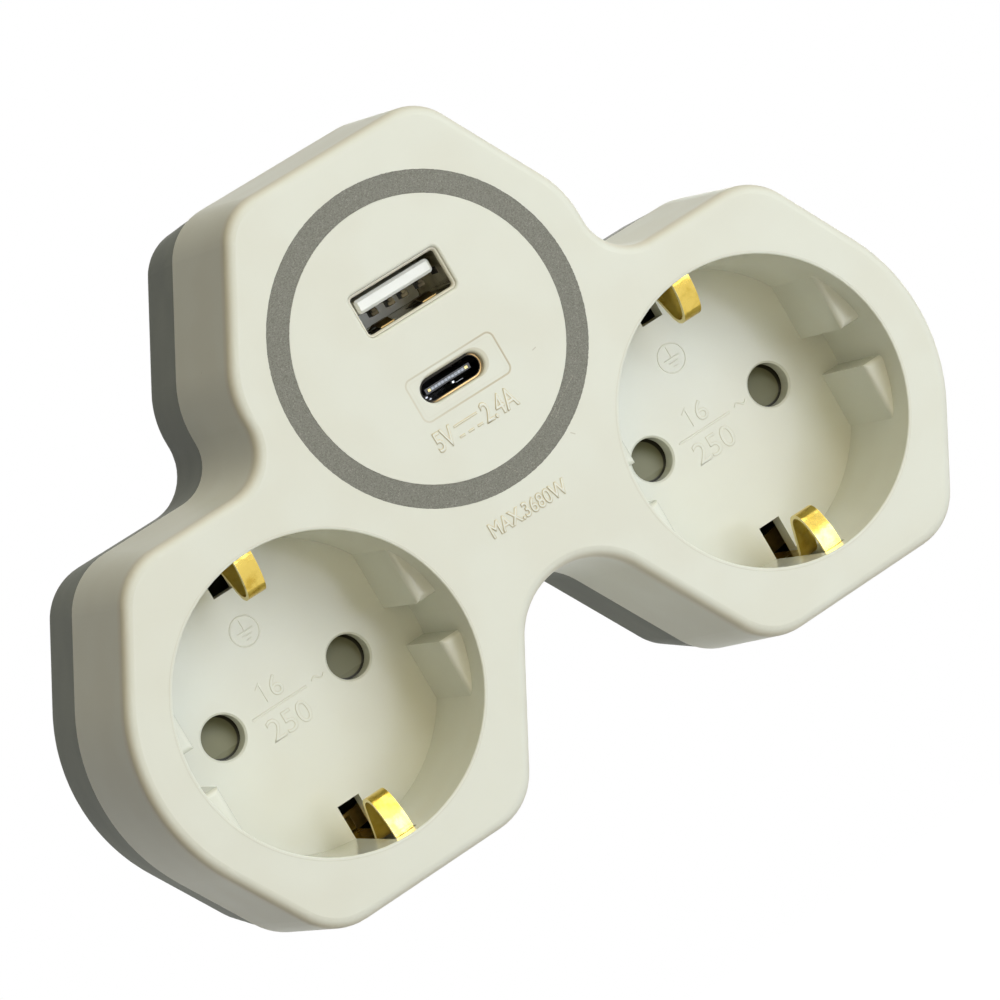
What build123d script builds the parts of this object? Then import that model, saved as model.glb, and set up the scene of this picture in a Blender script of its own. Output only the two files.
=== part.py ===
from build123d import *
from math import cos, radians, sqrt, tan
import os

os.makedirs("parts", exist_ok=True)

# Double socket adapter with two charging ports. Millimetres.
# X runs to the right, Z up, and Y from the room into the wall.
# The origin is on the plug's axis, in the plane of the flat back that faces the wall outlet.

# Body outline, seen from the front: three hexagonal lobes run together
lobe_apothem = 25.35
top_apothem = 25.85
upper_corner_r = 6.8
lobe_corner_r = 7.9
socket_apex_r = 24.0
neck_extra = 0.05
neck_r = 13.0
shoulder_r = 6.3
valley_r = 9.9
socket_x = 33.5
socket_z = -29.8

# Body depths
body_depth = 38.5
front_depth = 20.0
split_gap = 0.3
side_grow = 0.87
back_shrink = 0.5
split_step = 0.15
front_edge_r = 1.3
back_edge_r = 4.0
wall = 2.0
tongue_t = 1.0
tongue_depth = 2.0
tongue_gap = 0.12

front_y = -body_depth
split_y = front_y + front_depth

# Socket wells
well_r = 19.6
well_depth = 17.5
well_wall = 2.4
well_rim_r = 0.2
floor_y = front_y + well_depth
pin_spacing = 19.0
pin_r = 2.4
entry_r = 2.85
entry_chamfer = 0.25
rib_x = 16.6
rib_gap = 5.4
rib_top_depth = 4.4
rib_round_r = 0.7
slot_w = 3.2
slot_inner_r = 15.0
slot_outer_r = 22.2
groove_top_depth = 2.4
pad_w = 8.0

# Accent ring, charging ports and housing screws
ring_outer_r = 20.65
ring_w = 2.85
ring_t = 0.6
ring_gap = 0.03
usb_x = 0.05
usb_a_z = 6.5
usb_a_w = 12.5
usb_a_h = 5.1
usb_c_z = -5.5
usb_c_w = 8.34
usb_c_h = 2.56
shell_t = 0.3
shell_corner_r = 0.4
port_gap = 0.05
port_grow = 2 * (shell_t + port_gap)
port_lip = 0.4
screw_ring = 22.6
screw_boss_r = 2.6
screw_r = 1.45
screw_core_r = 1.1
screw_head_r = 2.4
screw_head_t = 1.8
screw_bite = 8.0
screw_seat_y = -8.0
pilot_spare = 1.5
post_r = 3.4

# Plug
boss_r = 18.7
boss_flat_x = 16.3
boss_depth = 17.2
boss_wall = 2.0
plug_pin_length = 19.0
pin_tip_r = 1.6
pin_fit = 0.03
pin_seat_r = pin_r + 0.5
collar_r = pin_r + 1.0
collar_t = 1.5
shank_r = pin_r - 0.4
rivet_r = 1.5
rivet_head_r = 2.2
rivet_head_t = 0.7
earth_hole_z = 10.0
earth_hole_r = 2.6

# Shutters and their carriers
shutter_w = 26.6
shutter_top = 3.3
shutter_bottom = -4.0
shutter_t = 2.1
shutter_play = 0.2
shutter_ramp = 1.5
ramp_length = 5.2
carrier_gap = 0.3
carrier_t = 1.5
rail_t = 1.6
rail_play = 0.3
rail_top = 5.0
stop_h = 1.6
foot_wall_h = 1.4
carrier_r = well_r + 0.6
carrier_half_h = 14.6
spring_seat = -13.2
spring_r = 0.95
spring_wire_r = 0.2
spring_turns = 6
peg_r = 0.55

shutter_front_y = split_y + shutter_play
shutter_back_y = shutter_front_y + shutter_t
carrier_front_y = shutter_back_y + carrier_gap
carrier_back_y = carrier_front_y + carrier_t

# Pin contacts, bars and earth strip
strip_t = 0.8
strip_w = 4.0
sleeve_r = pin_r + 0.05
sleeve_t = 0.6
sleeve_front_y = carrier_back_y
sleeve_slit = 0.6
bar_offset = 7.2
contact_w = 2.6
contact_t = 0.5
leg_r = 20.15
earth_ring_r = 18.9
earth_ring_w = 2.6
strap_y = 2.2
strap_w = 5.0
strap_leg_r = 18.0
strap_bow = 0.55
strap_bends = [8.0, 0.7, 0.7, 8.0]
bow_start_depth = 3.0
bow_leg_depth = 3.15
bow_crown_depth = 6.24
bow_back_depth = 10.94
bow_leg_r = 16.98
bow_crown_r = 12.4
bow_bends = [7.0, 2.2, 2.0, 0.5]
foot_in = 2.25

# Depths of the current-carrying parts, shared out over the room behind the carriers
stack_room = -wall - carrier_back_y
foot_y = carrier_back_y + 0.093 * stack_room
earth_plate_y = foot_y + contact_t / 2 + 0.05
neutral_bar_y = carrier_back_y + 0.516 * stack_room
line_bar_y = carrier_back_y + 0.798 * stack_room
sleeve_back_y = line_bar_y

# Charger board
board_front_y = front_y + 17.5
board_t = 1.2
board_w = 34.0
board_h = 24.0
board_z = 1.0
board_back_y = board_front_y + board_t
shell_front_y = front_y + 0.8
tongue_a_front_y = shell_front_y + 0.9
tongue_c_front_y = shell_front_y + 1.0
base_t = 5.0
part_gap = 0.05
tongue_w = 11.1
tongue_h = 1.84
tongue_z = usb_a_z + 1.05
tongue_bevel = 0.35
tongue_corner_r = 0.5
prong_w = 1.0
prong_t = 0.3
prong_places = (-3.5, -1.0, 1.0, 3.5)
small_tongue_w = 6.7
small_tongue_t = 0.7
small_base_t = base_t + 3.0
core_x = 0.0
core_z = 6.5
core_w = 11.0
core_h = 12.0
core_d = 9.0
core_bar = 2.2
chip_x = 11.5
chip_w = 5.0
chip_h = 4.0
chip_t = 1.5
fuse_x = 12.0
fuse_z = -3.5
fuse_r = 2.0
fuse_t = 6.0
wire_r = 0.7
lead_x = 11.5
lead_z = -6.8
lead_in = 2.6


def face_plane(y):
    """Plane parallel to the face at depth y: local x is X, local y is Z, normal to the front."""
    return Plane.XZ.offset(-y)


def lobe_corners(grow):
    """Corner points of the body outline, clockwise from the top, grown outward by grow."""
    a = lobe_apothem + grow
    top = top_apothem + grow
    top_x = (a - top / 2) / cos(radians(30))
    half_side = a / sqrt(3)
    neck_x = a + neck_extra
    neck_z = (a - neck_x * cos(radians(30))) / 0.5
    valley_z = socket_z + (socket_x * cos(radians(30)) - a) / 0.5
    right = [
        (top_x, top, upper_corner_r + grow),
        (neck_x, neck_z, neck_r + grow),
        (neck_x, socket_z + top, shoulder_r - grow),
        (socket_x + top_x, socket_z + top, lobe_corner_r + grow),
        (socket_x + 2 * half_side, socket_z, socket_apex_r + grow),
        (socket_x + half_side, socket_z - a, lobe_corner_r + grow),
        (socket_x - half_side, socket_z - a, lobe_corner_r + grow),
    ]
    left = [(-x, z, r) for x, z, r in reversed(right)]
    return right + [(0, valley_z, valley_r - grow)] + left


def lobe_face(y, grow):
    """Face with the body outline at depth y, grown outward by grow."""
    corners = lobe_corners(grow)
    with BuildSketch(face_plane(y)) as outline:
        with BuildLine():
            FilletPolyline([(x, z) for x, z, r in corners], radius=[r for x, z, r in corners], close=True)
        make_face()
    return outline.sketch


def pair(spacing):
    """The two places spacing apart along the pin line."""
    return [(-spacing / 2, 0), (spacing / 2, 0)]


# Places of the six housing screws
screw_x = screw_ring * 0.5
screw_z = screw_ring * cos(radians(30))
screw_places = []
for side in (-1, 1):
    screw_places.append((side * (socket_x + screw_x), socket_z + screw_z))
    screw_places.append((side * (socket_x + screw_x), socket_z - screw_z))
    screw_places.append((side * screw_x, screw_z))
socket_places = [(-socket_x, socket_z), (socket_x, socket_z)]


# Front cover: the pale shell with both wells moulded into it
with BuildPart() as front_cover:
    loft([lobe_face(front_y, 0), lobe_face(split_y, side_grow)], ruled=True)
    fillet(front_cover.edges().group_by(Axis.Y)[0], front_edge_r)
    inside = [lobe_face(front_y + wall, -wall), lobe_face(split_y, side_grow - wall)]
    loft(inside, ruled=True, mode=Mode.SUBTRACT)
    # Tubes of the wells, pads behind the earth contacts, and screw bosses
    with BuildSketch(face_plane(split_y)):
        with Locations(*socket_places):
            Circle(well_r + well_wall)
        with Locations(*screw_places):
            Circle(screw_boss_r)
    extrude(amount=front_depth - wall / 2)
    with BuildSketch(face_plane(floor_y)):
        with Locations(*socket_places):
            Rectangle(pad_w, 2 * lobe_apothem - 1)
    extrude(amount=well_depth - wall / 2)
    with BuildSketch(face_plane(floor_y)):
        with Locations(*socket_places):
            Circle(well_r)
    extrude(amount=well_depth, mode=Mode.SUBTRACT)
    rims = front_cover.edges().filter_by(GeomType.CIRCLE).group_by(Axis.Y)[0]
    fillet([edge for edge in rims if abs(edge.radius - well_r) < 0.01], well_rim_r)
    # Guide ribs: the wells' sides cut off by a flat, with a gap in the middle
    with BuildSketch(face_plane(floor_y)):
        with Locations(*socket_places):
            Circle(well_r + 0.5)
            Rectangle(2 * rib_x, 2 * well_r, mode=Mode.SUBTRACT)
            Rectangle(2 * well_r + 2, rib_gap, mode=Mode.SUBTRACT)
    extrude(amount=well_depth - rib_top_depth)
    rib_top_y = front_y + rib_top_depth
    rib_edges = front_cover.edges().filter_by(GeomType.LINE)
    fillet([edge for edge in rib_edges if abs(edge.center().Y - rib_top_y) < 0.01], rib_round_r)
    # Pin entries, earth slots through the floor and grooves up the wall
    with BuildSketch(face_plane(floor_y)):
        for x, z in socket_places:
            with Locations(*[(x + dx, z) for dx, dz in pair(pin_spacing)]):
                Circle(entry_r)
    extrude(amount=-(split_y - floor_y) - 1, mode=Mode.SUBTRACT)
    entries = front_cover.edges().filter_by(GeomType.CIRCLE)
    entries = [e for e in entries if abs(e.radius - entry_r) < 0.01 and abs(e.center().Y - floor_y) < 0.01]
    chamfer(entries, entry_chamfer)
    with BuildSketch(face_plane(split_y + 0.5)):
        for x, z in socket_places:
            slot_mid = (slot_inner_r + slot_outer_r) / 2
            with Locations((x, z + slot_mid), (x, z - slot_mid)):
                Rectangle(slot_w, slot_outer_r - slot_inner_r)
    slot_length = split_y + 0.5 - front_y - groove_top_depth
    extrude(amount=slot_length, mode=Mode.SUBTRACT)
    # Port windows with a soft lip
    with BuildSketch(face_plane(front_y)):
        with Locations((usb_x, usb_a_z)):
            RectangleRounded(usb_a_w + port_grow, usb_a_h + port_grow, shell_corner_r + port_grow / 2)
        with Locations((usb_x, usb_c_z)):
            SlotOverall(usb_c_w + port_grow, usb_c_h + port_grow)
    extrude(amount=-wall, mode=Mode.SUBTRACT)
    front_wires = front_cover.faces().sort_by(Axis.Y)[0].inner_wires()
    port_edges = [e for w in front_wires for e in w.edges() if w.bounding_box().size.X < usb_a_w + 1]
    fillet(port_edges, port_lip)
    # Groove of the accent ring
    with BuildSketch(face_plane(front_y)):
        Circle(ring_outer_r + ring_gap)
        Circle(ring_outer_r - ring_w - ring_gap, mode=Mode.SUBTRACT)
    extrude(amount=-ring_t, mode=Mode.SUBTRACT)
    # Pilot holes of the housing screws
    with BuildSketch(face_plane(split_y)):
        with Locations(*screw_places):
            Circle(screw_core_r)
    extrude(amount=screw_bite + pilot_spare, mode=Mode.SUBTRACT)
front_cover.part.label = "front_cover"
export_step(front_cover.part, "parts/front_cover.step")

# Accent ring, flush in its groove
with BuildPart() as accent_ring:
    with BuildSketch(face_plane(front_y + ring_t)):
        Circle(ring_outer_r)
        Circle(ring_outer_r - ring_w, mode=Mode.SUBTRACT)
    extrude(amount=ring_t)
accent_ring.part.label = "accent_ring"
export_step(accent_ring.part, "parts/accent_ring.step")

# Rear cover: the grey back with the round plug boss
back_y = split_y + split_gap
back_grow = side_grow - split_step
tongue_grow = side_grow - wall - tongue_gap
knee = lobe_face(-back_edge_r, -back_shrink - wall + 0.2)
with BuildPart() as rear_hollow:
    loft([lobe_face(back_y, back_grow - wall), knee], ruled=True)
    loft([knee, lobe_face(-wall, -back_shrink - wall - 2.2)], ruled=True)
    with BuildSketch(face_plane(0)):
        with Locations(*screw_places):
            Circle(post_r)
    extrude(amount=-back_y - 0.2, mode=Mode.SUBTRACT)

with BuildPart() as rear_cover:
    loft([lobe_face(back_y, back_grow), lobe_face(0, -back_shrink)], ruled=True)
    fillet(rear_cover.edges().group_by(Axis.Y)[-1], back_edge_r)
    add(rear_hollow.part, mode=Mode.SUBTRACT)
    # Tongue that enters the front cover, on a thicker root
    tongue_inside = lobe_face(back_y, tongue_grow - tongue_t)
    extrude(lobe_face(back_y, back_grow - 0.5) - tongue_inside, amount=-tongue_depth)
    extrude(lobe_face(back_y, tongue_grow) - tongue_inside, amount=tongue_depth)
    with BuildSketch(face_plane(back_y)):
        with Locations(*screw_places):
            Circle(screw_boss_r + tongue_gap + 0.2)
    extrude(amount=tongue_depth + 1, mode=Mode.SUBTRACT)
    # Screw holes through the posts, with deep seats for the heads
    with BuildSketch(face_plane(0)):
        with Locations(*screw_places):
            Circle(screw_head_r + 0.1)
    extrude(amount=-screw_seat_y, mode=Mode.SUBTRACT)
    with BuildSketch(face_plane(0)):
        with Locations(*screw_places):
            Circle(screw_r + 0.1)
    extrude(amount=-back_y + 1, mode=Mode.SUBTRACT)
    # Plug boss, notched at the sides for the outlet's ribs
    with BuildSketch(face_plane(-0.5)):
        Circle(boss_r)
        Rectangle(2 * boss_flat_x, 2 * boss_r, mode=Mode.INTERSECT)
    extrude(amount=-boss_depth - 0.5)
    fillet(rear_cover.faces().sort_by(Axis.Y)[-1].edges(), 0.8)
    with BuildSketch(face_plane(-wall)):
        Circle(boss_r - boss_wall)
        Rectangle(2 * (boss_flat_x - boss_wall), 2 * boss_r, mode=Mode.INTERSECT)
    extrude(amount=-boss_depth - wall + boss_wall, mode=Mode.SUBTRACT)
    with BuildSketch(face_plane(0)):
        with Locations(*pair(pin_spacing)):
            Circle(pin_seat_r + pin_fit)
        with Locations((0, earth_hole_z)):
            Circle(earth_hole_r)
    extrude(amount=-boss_depth - 1, mode=Mode.SUBTRACT)
    # Grooves for the legs of the earth strap, and slots where it enters
    with BuildSketch(face_plane(strap_y - 0.1)):
        with Locations((0, strap_leg_r + 1), (0, -strap_leg_r - 1)):
            Rectangle(strap_w + 0.4, 3.4)
    extrude(amount=-(boss_depth - strap_y - 1), mode=Mode.SUBTRACT)
    with BuildSketch(face_plane(strap_y - 0.1)):
        Rectangle(strap_w + 0.4, 2 * boss_r + 1)
    extrude(amount=-strip_t - 0.2, mode=Mode.SUBTRACT)
rear_cover.part.label = "rear_cover"
export_step(rear_cover.part, "parts/rear_cover.step")

# Housing screws: six alike, driven from the back
with BuildPart() as housing_screws:
    with BuildSketch(face_plane(screw_seat_y)):
        with Locations(*screw_places):
            Circle(screw_head_r)
    extrude(amount=-screw_head_t)
    with BuildSketch(face_plane(screw_seat_y)):
        with Locations(*screw_places):
            Circle(screw_core_r - 0.02)
    extrude(amount=screw_seat_y - split_y + screw_bite)
    with BuildSketch(face_plane(screw_seat_y + screw_head_t)):
        with Locations(*screw_places):
            Rectangle(3.2, 0.6)
            Rectangle(0.6, 3.2)
    extrude(amount=1.1, mode=Mode.SUBTRACT)
housing_screws.part.label = "housing_screws"
export_step(housing_screws.part, "parts/housing_screws.step")

# Plug pins, riveted to their bars
bar_ends = {"left": line_bar_y, "right": neutral_bar_y}
for name, dx in (("left", -pin_spacing / 2), ("right", pin_spacing / 2)):
    bar_y = bar_ends[name]
    with BuildPart() as plug_pin:
        with BuildSketch(face_plane(boss_depth + plug_pin_length)):
            with Locations((dx, 0)):
                Circle(pin_r)
        extrude(amount=plug_pin_length)
        fillet(plug_pin.edges().group_by(Axis.Y)[-1], pin_tip_r)
        with BuildSketch(face_plane(boss_depth)):
            with Locations((dx, 0)):
                Circle(pin_seat_r)
        extrude(amount=boss_wall)
        with BuildSketch(face_plane(boss_depth - boss_wall)):
            with Locations((dx, 0)):
                Circle(collar_r)
        extrude(amount=collar_t)
        with BuildSketch(face_plane(boss_depth - boss_wall - collar_t)):
            with Locations((dx, 0)):
                Circle(shank_r)
        extrude(amount=boss_depth - boss_wall - collar_t - bar_y)
        with BuildSketch(face_plane(bar_y)):
            with Locations((dx, 0)):
                Circle(rivet_r)
        extrude(amount=strip_t)
        with BuildSketch(face_plane(bar_y - strip_t)):
            with Locations((dx, 0)):
                Circle(rivet_head_r)
        extrude(amount=rivet_head_t)
    plug_pin.part.label = f"plug_pin_{name}"
    export_step(plug_pin.part, f"parts/plug_pin_{name}.step")

# Bowed spring strip of the earth contacts, drawn about a well's axis
bow = [
    (front_y + bow_start_depth, leg_r + 0.2),
    (front_y + bow_leg_depth, bow_leg_r),
    (front_y + bow_crown_depth, bow_crown_r),
    (front_y + bow_back_depth, leg_r),
    (foot_y, leg_r),
    (foot_y, leg_r - foot_in),
]
with BuildPart() as bow_strip:
    with BuildLine(Plane.YZ) as bow_line:
        FilletPolyline(bow, radius=bow_bends)
    with BuildSketch(Plane(origin=bow_line.line @ 0, x_dir=(1, 0, 0), z_dir=bow_line.line % 0)):
        Rectangle(contact_w, contact_t)
    sweep(path=bow_line.line)

# Socket parts that come once for each well
for name, sx in (("left", -socket_x), ("right", socket_x)):
    # Shutter: a plate over both entries, its upper part sloped so that two pins push it down
    with BuildPart() as shutter:
        with BuildSketch(Plane.YZ.offset(sx)):
            with BuildLine():
                Polyline(
                    (shutter_back_y, socket_z + shutter_bottom),
                    (shutter_back_y, socket_z + shutter_top),
                    (shutter_front_y + shutter_ramp, socket_z + shutter_top),
                    (shutter_front_y, socket_z + shutter_top - ramp_length),
                    (shutter_front_y, socket_z + shutter_bottom),
                    close=True,
                )
            make_face()
        extrude(amount=shutter_w / 2, both=True)
        with BuildSketch(Plane.XY.offset(socket_z + shutter_bottom)):
            with Locations((sx, (shutter_front_y + shutter_back_y) / 2)):
                Circle(peg_r)
        extrude(amount=-1.6)
    shutter.part.label = f"shutter_{name}"
    export_step(shutter.part, f"parts/shutter_{name}.step")

    # Shutter spring, held between the shutter and the carrier's foot wall
    spring_y = (shutter_front_y + shutter_back_y) / 2
    spring_top = socket_z + shutter_bottom
    spring_length = shutter_bottom - spring_seat
    with BuildPart() as shutter_spring:
        with BuildLine():
            Helix(
                pitch=(spring_length - 2 * spring_wire_r - 0.1) / spring_turns,
                height=spring_length - 2 * spring_wire_r - 0.1,
                radius=spring_r,
                center=(sx, spring_y, spring_top - spring_length + spring_wire_r + 0.05),
            )
        coil = shutter_spring.pending_edges_as_wire
        with BuildSketch(Plane(origin=coil @ 0, z_dir=coil % 0)):
            RegularPolygon(spring_wire_r, 6)
        sweep(path=coil, is_frenet=True)
    shutter_spring.part.label = f"shutter_spring_{name}"
    export_step(shutter_spring.part, f"parts/shutter_spring_{name}.step")

    # Carrier: insulating plate with the shutter's rails
    rail_x = shutter_w / 2 + rail_play + rail_t / 2
    with BuildPart() as contact_carrier:
        with BuildSketch(face_plane(carrier_back_y)):
            with Locations((sx, socket_z)):
                Circle(carrier_r)
                Rectangle(2 * carrier_r, 2 * carrier_half_h, mode=Mode.INTERSECT)
            with Locations(*[(sx + dx, socket_z) for dx, dz in pair(pin_spacing)]):
                Circle(pin_r + 0.6, mode=Mode.SUBTRACT)
            with Locations(*screw_places):
                Circle(post_r + 0.4, mode=Mode.SUBTRACT)
        extrude(amount=carrier_t)
        with BuildSketch(face_plane(carrier_front_y)):
            rail_h = rail_top - spring_seat + foot_wall_h
            rail_mid_z = socket_z + rail_top - rail_h / 2
            with Locations((sx - rail_x, rail_mid_z), (sx + rail_x, rail_mid_z)):
                Rectangle(rail_t, rail_h)
            with Locations((sx, socket_z + spring_seat - foot_wall_h / 2)):
                Rectangle(2 * rail_x, foot_wall_h)
            with Locations((sx, socket_z + shutter_top + 0.05 + stop_h / 2)):
                Rectangle(2 * rail_x, stop_h)
        extrude(amount=carrier_front_y - split_y)
    contact_carrier.part.label = f"contact_carrier_{name}"
    export_step(contact_carrier.part, f"parts/contact_carrier_{name}.step")

    # Earth contacts: the bowed strip at the top of the well, and turned over at its foot
    for end in ("upper", "lower"):
        with BuildPart() as earth_contact:
            with Locations((sx, 0, socket_z)):
                add(bow_strip.part)
            if end == "lower":
                mirror(about=Plane.XY.offset(socket_z), mode=Mode.REPLACE)
        earth_contact.part.label = f"earth_contact_{name}_{end}"
        export_step(earth_contact.part, f"parts/earth_contact_{name}_{end}.step")


def sleeve(x):
    """Round pin contact with a slit, open at both ends, for the part being built."""
    with BuildSketch(face_plane(sleeve_back_y)) as ring:
        with Locations((x, socket_z)):
            Circle(sleeve_r + sleeve_t)
            Circle(sleeve_r, mode=Mode.SUBTRACT)
        with Locations((x + sleeve_r, socket_z)):
            Rectangle(2, sleeve_slit, mode=Mode.SUBTRACT)
    return extrude(ring.sketch, amount=sleeve_back_y - sleeve_front_y)


# Line and neutral bars, each with two pin contacts and a riser to its plug pin
bars = (
    ("line_bar", line_bar_y, (-socket_x - pin_spacing / 2, socket_x - pin_spacing / 2), -pin_spacing / 2),
    ("neutral_bar", neutral_bar_y, (-socket_x + pin_spacing / 2, socket_x + pin_spacing / 2), pin_spacing / 2),
)
for name, bar_y, sleeve_x, pin_x in bars:
    bar_z = socket_z + bar_offset
    with BuildPart() as bar:
        for x in sleeve_x:
            add(sleeve(x))
        with BuildSketch(face_plane(bar_y)):
            with Locations((sum(sleeve_x) / 2, bar_z)):
                Rectangle(sleeve_x[1] - sleeve_x[0] + strip_w, strip_w)
            tab_end = sleeve_r + sleeve_t / 2
            tab_h = bar_offset - tab_end
            with Locations(*[(x, socket_z + tab_end + tab_h / 2) for x in sleeve_x]):
                Rectangle(strip_w, tab_h)
            riser_h = 3.0 - bar_z
            with Locations((pin_x, bar_z + riser_h / 2)):
                Rectangle(strip_w + 1, riser_h)
            with Locations((pin_x, 0)):
                Circle(rivet_r + 0.05, mode=Mode.SUBTRACT)
        extrude(amount=strip_t)
        bores = [(x, socket_z) for x in sleeve_x]
        with BuildSketch(face_plane(bar_y)):
            with Locations(*bores):
                Circle(sleeve_r)
        extrude(amount=strip_t, mode=Mode.SUBTRACT)
    bar.part.label = name
    export_step(bar.part, f"parts/{name}.step")

# Earth plate: a ring around each socket's contacts and a cross strip between them
with BuildPart() as earth_plate:
    with BuildSketch(face_plane(earth_plate_y + strip_t)):
        with Locations(*socket_places):
            Circle(earth_ring_r + earth_ring_w / 2)
        with Locations((0, socket_z + earth_ring_r)):
            Rectangle(2 * socket_x, earth_ring_w)
        with Locations(*socket_places):
            Circle(earth_ring_r - earth_ring_w / 2, mode=Mode.SUBTRACT)
        with Locations(*screw_places):
            Circle(post_r + 0.3, mode=Mode.SUBTRACT)
    extrude(amount=strip_t)
earth_plate.part.label = "earth_plate"
export_step(earth_plate.part, "parts/earth_plate.step")

# Earth link from the plate back to the plug's strap
link_z = socket_z + earth_ring_r
with BuildPart() as earth_link:
    with BuildSketch(face_plane(earth_plate_y + strip_t)):
        with Locations((0, link_z)):
            Rectangle(strip_w, strip_t)
    extrude(amount=-(strap_y - earth_plate_y - strip_t))
earth_link.part.label = "earth_link"
export_step(earth_link.part, "parts/earth_link.step")

# Earth strap: the plug's two side contacts, joined through the boss
strap = [
    (boss_depth - 2, strap_leg_r - 0.2),
    (boss_depth / 2, strap_leg_r - 0.2 + strap_bow),
    (strap_y + strip_t / 2, strap_leg_r - 0.2),
]
strap_path = [(y, z) for y, z in strap] + [(y, -z) for y, z in reversed(strap)]
with BuildPart() as earth_strap:
    with BuildLine(Plane.YZ) as strap_line:
        FilletPolyline(strap_path, radius=strap_bends)
    with BuildSketch(Plane(origin=strap_line.line @ 0, x_dir=(1, 0, 0), z_dir=strap_line.line % 0)):
        Rectangle(strap_w, strip_t)
    sweep(path=strap_line.line)
earth_strap.part.label = "earth_strap"
export_step(earth_strap.part, "parts/earth_strap.step")

# Earth tube, for outlets whose earth pin sticks out
with BuildPart() as earth_tube:
    with BuildSketch(face_plane(boss_depth - boss_wall)):
        with Locations((0, earth_hole_z)):
            Circle(earth_hole_r + 0.5)
            Circle(pin_r + 0.05, mode=Mode.SUBTRACT)
    extrude(amount=boss_depth - boss_wall - strap_y - strip_t)
earth_tube.part.label = "earth_tube"
export_step(earth_tube.part, "parts/earth_tube.step")

# Charger board, across the middle lobe behind the ports
with BuildPart() as charger_board:
    with BuildSketch(face_plane(board_back_y)):
        with Locations((0, board_z)):
            RectangleRounded(board_w, board_h, 3)
    extrude(amount=board_t)
charger_board.part.label = "charger_board"
export_step(charger_board.part, "parts/charger_board.step")

# Wide port: metal shell, white tongue on a base, and four contacts under the tongue
with BuildPart() as usb_a_shell:
    with BuildSketch(face_plane(board_front_y)):
        with Locations((usb_x, usb_a_z)):
            RectangleRounded(usb_a_w + 2 * shell_t, usb_a_h + 2 * shell_t, shell_corner_r + shell_t)
            RectangleRounded(usb_a_w, usb_a_h, shell_corner_r, mode=Mode.SUBTRACT)
    extrude(amount=board_front_y - shell_front_y)
usb_a_shell.part.label = "usb_a_shell"
export_step(usb_a_shell.part, "parts/usb_a_shell.step")

with BuildPart() as usb_a_tongue:
    with BuildSketch(face_plane(board_front_y)):
        with Locations((usb_x, usb_a_z)):
            RectangleRounded(usb_a_w - 2 * part_gap, usb_a_h - 2 * part_gap, shell_corner_r)
    extrude(amount=base_t)
    with BuildSketch(face_plane(board_front_y - base_t)):
        with Locations((usb_x, tongue_z)):
            RectangleRounded(tongue_w, tongue_h, tongue_corner_r)
    extrude(amount=board_front_y - base_t - tongue_a_front_y)
    tip = usb_a_tongue.faces().sort_by(Axis.Y)[0]
    chamfer(tip.edges(), tongue_bevel)
usb_a_tongue.part.label = "usb_a_tongue"
export_step(usb_a_tongue.part, "parts/usb_a_tongue.step")

contact_places = [(usb_x + x, tongue_z - tongue_h / 2 - prong_t / 2) for x in prong_places]
with BuildPart() as usb_a_contacts:
    with BuildSketch(face_plane(board_front_y - base_t)):
        with Locations(*contact_places):
            Rectangle(prong_w, prong_t)
    extrude(amount=board_front_y - base_t - tongue_a_front_y - 1.2)
usb_a_contacts.part.label = "usb_a_contacts"
export_step(usb_a_contacts.part, "parts/usb_a_contacts.step")

# Small oval port: metal shell and dark tongue on a base
with BuildPart() as usb_c_shell:
    with BuildSketch(face_plane(board_front_y)):
        with Locations((usb_x, usb_c_z)):
            SlotOverall(usb_c_w + 2 * shell_t, usb_c_h + 2 * shell_t)
            SlotOverall(usb_c_w, usb_c_h, mode=Mode.SUBTRACT)
    extrude(amount=board_front_y - shell_front_y)
usb_c_shell.part.label = "usb_c_shell"
export_step(usb_c_shell.part, "parts/usb_c_shell.step")

with BuildPart() as usb_c_tongue:
    with BuildSketch(face_plane(board_front_y)):
        with Locations((usb_x, usb_c_z)):
            SlotOverall(usb_c_w - 2 * part_gap, usb_c_h - 2 * part_gap)
    extrude(amount=small_base_t)
    with BuildSketch(face_plane(board_front_y - small_base_t)):
        with Locations((usb_x, usb_c_z)):
            Rectangle(small_tongue_w, small_tongue_t)
    extrude(amount=board_front_y - small_base_t - tongue_c_front_y)
usb_c_tongue.part.label = "usb_c_tongue"
export_step(usb_c_tongue.part, "parts/usb_c_tongue.step")

# Transformer: a ferrite frame around a wound bobbin, on the back of the board
with BuildPart() as transformer_core:
    with BuildSketch(face_plane(board_back_y + core_d)):
        with Locations((core_x, core_z)):
            Rectangle(core_w, core_h)
            Rectangle(core_w - 2 * core_bar, core_h - 2 * core_bar, mode=Mode.SUBTRACT)
    extrude(amount=core_d)
transformer_core.part.label = "transformer_core"
export_step(transformer_core.part, "parts/transformer_core.step")

with BuildPart() as transformer_winding:
    with BuildSketch(face_plane(board_back_y + core_d - 0.6)):
        with Locations((core_x, core_z)):
            Rectangle(core_w - 2 * core_bar - 2 * part_gap, core_h - 2 * core_bar - 2 * part_gap)
    extrude(amount=core_d - 0.6)
    fillet(transformer_winding.edges().filter_by(Axis.Y), 1.0)
transformer_winding.part.label = "transformer_winding"
export_step(transformer_winding.part, "parts/transformer_winding.step")

# Capacitors, standing on the board's back
capacitors = (
    ("input_capacitor", -11.0, 6.5, 4.0, 9.5),
    ("output_capacitor", 11.0, 7.5, 3.15, 8.0),
)
for name, x, z, r, length in capacitors:
    with BuildPart() as capacitor:
        with BuildSketch(face_plane(board_back_y + length)):
            with Locations((x, z)):
                Circle(r)
        extrude(amount=length)
        fillet(capacitor.edges().group_by(Axis.Y)[-1], 0.5)
    capacitor.part.label = name
    export_step(capacitor.part, f"parts/{name}.step")

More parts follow.
